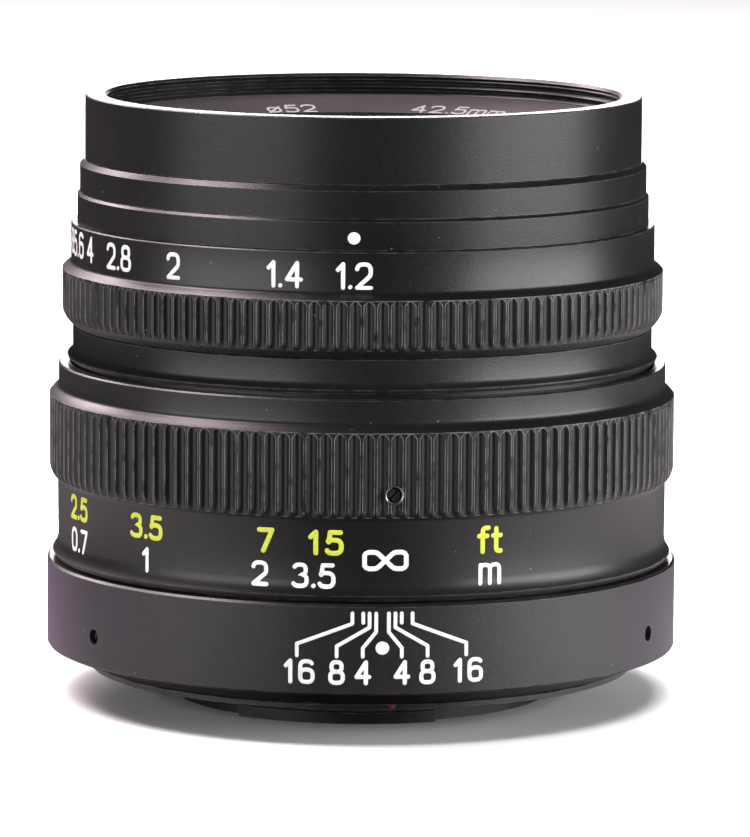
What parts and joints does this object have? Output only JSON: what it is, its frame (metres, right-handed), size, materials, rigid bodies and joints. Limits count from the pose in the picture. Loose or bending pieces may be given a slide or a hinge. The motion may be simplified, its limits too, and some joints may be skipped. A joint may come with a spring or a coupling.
{
  "type": "prime camera lens",
  "caption": "Manual-focus prime camera lens: metal barrel with turning aperture and focus rings, iris, glass elements and a bayonet mount.",
  "frame": {"origin": "centre of the bayonet's rear face, on the surface that the lens stands on", "axes": "+Z along the optical axis towards the front glass, -Y towards the side with the index marks"},
  "size_m": [0.063, 0.063, 0.0601],
  "materials": {
    "black_anodised_aluminium": "satin black anodised aluminium",
    "matt_black_metal": "matt black",
    "bare_steel": "bare steel",
    "machined_brass": "machined brass",
    "machined_aluminium": "machined aluminium",
    "optical_glass": "coated optical glass"
  },
  "bodies": {
    "mount_barrel": {"base_ring": "black_anodised_aluminium", "bayonet_mount": "black_anodised_aluminium", "rear_baffle": "matt_black_metal", "fixed_barrel": "machined_aluminium", "base_screw_1": "matt_black_metal", "base_screw_2": "matt_black_metal", "base_screw_3": "matt_black_metal", "mount_screw_1": "bare_steel", "mount_screw_2": "bare_steel", "mount_screw_3": "bare_steel", "mount_screw_4": "bare_steel", "guide_key_1": "bare_steel", "guide_key_2": "bare_steel", "focus_stop_pin": "bare_steel"},
    "focus_group": {"focus_ring": "black_anodised_aluminium", "focus_sleeve": "machined_brass", "focus_screw_1": "matt_black_metal", "focus_screw_2": "matt_black_metal", "focus_screw_3": "matt_black_metal"},
    "front_unit": {"lens_barrel": "matt_black_metal", "neck_sleeve": "black_anodised_aluminium", "index_ring": "black_anodised_aluminium", "trim_ring": "black_anodised_aluminium", "filter_ring": "black_anodised_aluminium", "name_ring": "matt_black_metal", "front_retainer": "matt_black_metal", "front_cell": "matt_black_metal", "spacer_front_1": "matt_black_metal", "spacer_front_2": "matt_black_metal", "rear_cell": "matt_black_metal", "spacer_rear_1": "matt_black_metal", "spacer_rear_2": "matt_black_metal", "rear_retainer": "matt_black_metal", "iris_housing": "matt_black_metal", "click_ball": "bare_steel", "click_spring": "bare_steel", "lens_element_1": "optical_glass", "lens_element_2": "optical_glass", "lens_element_3": "optical_glass", "lens_element_4": "optical_glass", "lens_element_5": "optical_glass", "lens_element_6": "optical_glass", "lens_element_7": "optical_glass"},
    "aperture_group": {"aperture_ring": "black_anodised_aluminium", "iris_cam_ring": "matt_black_metal", "aperture_pin": "bare_steel"},
    "iris_blade_1": {"iris_blade_1": "matt_black_metal"},
    "iris_blade_2": {"iris_blade_2": "matt_black_metal"},
    "iris_blade_3": {"iris_blade_3": "matt_black_metal"},
    "iris_blade_4": {"iris_blade_4": "matt_black_metal"},
    "iris_blade_5": {"iris_blade_5": "matt_black_metal"},
    "iris_blade_6": {"iris_blade_6": "matt_black_metal"},
    "iris_blade_7": {"iris_blade_7": "matt_black_metal"},
    "iris_blade_8": {"iris_blade_8": "matt_black_metal"},
    "iris_blade_9": {"iris_blade_9": "matt_black_metal"}
  },
  "joints": [
    {"name": "focus_turn", "type": "hinge", "parent": "mount_barrel", "child": "focus_group", "pos_m": [0, 0, 0.0237], "axis": [0, 0, 1], "range_deg": [0, 118]},
    {"name": "front_travel", "type": "slide", "parent": "mount_barrel", "child": "front_unit", "axis": [0, 0, 1], "range_m": [0, 0.005]},
    {"name": "aperture_turn", "type": "hinge", "parent": "front_unit", "child": "aperture_group", "pos_m": [0, 0, 0.0423], "axis": [0, 0, 1], "range_deg": [0, 86]},
    {"name": "blade_turn_1", "type": "hinge", "parent": "front_unit", "child": "iris_blade_1", "pos_m": [0, -0.0205, 0.0375], "axis": [0, 0, 1], "range_deg": [0, 48.5]},
    {"name": "blade_turn_2", "type": "hinge", "parent": "front_unit", "child": "iris_blade_2", "pos_m": [0.01318, -0.0157, 0.03777], "axis": [0, 0, 1], "range_deg": [0, 48.5]},
    {"name": "blade_turn_3", "type": "hinge", "parent": "front_unit", "child": "iris_blade_3", "pos_m": [0.02019, -0.00356, 0.03804], "axis": [0, 0, 1], "range_deg": [0, 48.5]},
    {"name": "blade_turn_4", "type": "hinge", "parent": "front_unit", "child": "iris_blade_4", "pos_m": [0.01775, 0.01025, 0.03831], "axis": [0, 0, 1], "range_deg": [0, 48.5]},
    {"name": "blade_turn_5", "type": "hinge", "parent": "front_unit", "child": "iris_blade_5", "pos_m": [0.00701, 0.01926, 0.03858], "axis": [0, 0, 1], "range_deg": [0, 48.5]},
    {"name": "blade_turn_6", "type": "hinge", "parent": "front_unit", "child": "iris_blade_6", "pos_m": [-0.00701, 0.01926, 0.03885], "axis": [0, 0, 1], "range_deg": [0, 48.5]},
    {"name": "blade_turn_7", "type": "hinge", "parent": "front_unit", "child": "iris_blade_7", "pos_m": [-0.01775, 0.01025, 0.03912], "axis": [0, 0, 1], "range_deg": [0, 48.5]},
    {"name": "blade_turn_8", "type": "hinge", "parent": "front_unit", "child": "iris_blade_8", "pos_m": [-0.02019, -0.00356, 0.03939], "axis": [0, 0, 1], "range_deg": [0, 48.5]},
    {"name": "blade_turn_9", "type": "hinge", "parent": "front_unit", "child": "iris_blade_9", "pos_m": [-0.01318, -0.0157, 0.03966], "axis": [0, 0, 1], "range_deg": [0, 48.5]}
  ],
  "couplings": [
    {"joint": "front_travel", "follows": "focus_turn", "m_per_rad": 0.0024083},
    {"joint": "blade_turn_1", "follows": "aperture_turn", "ratio": 0.5581},
    {"joint": "blade_turn_2", "follows": "aperture_turn", "ratio": 0.5581},
    {"joint": "blade_turn_3", "follows": "aperture_turn", "ratio": 0.5581},
    {"joint": "blade_turn_4", "follows": "aperture_turn", "ratio": 0.5581},
    {"joint": "blade_turn_5", "follows": "aperture_turn", "ratio": 0.5581},
    {"joint": "blade_turn_6", "follows": "aperture_turn", "ratio": 0.5581},
    {"joint": "blade_turn_7", "follows": "aperture_turn", "ratio": 0.5581},
    {"joint": "blade_turn_8", "follows": "aperture_turn", "ratio": 0.5581},
    {"joint": "blade_turn_9", "follows": "aperture_turn", "ratio": 0.5581}
  ]
}
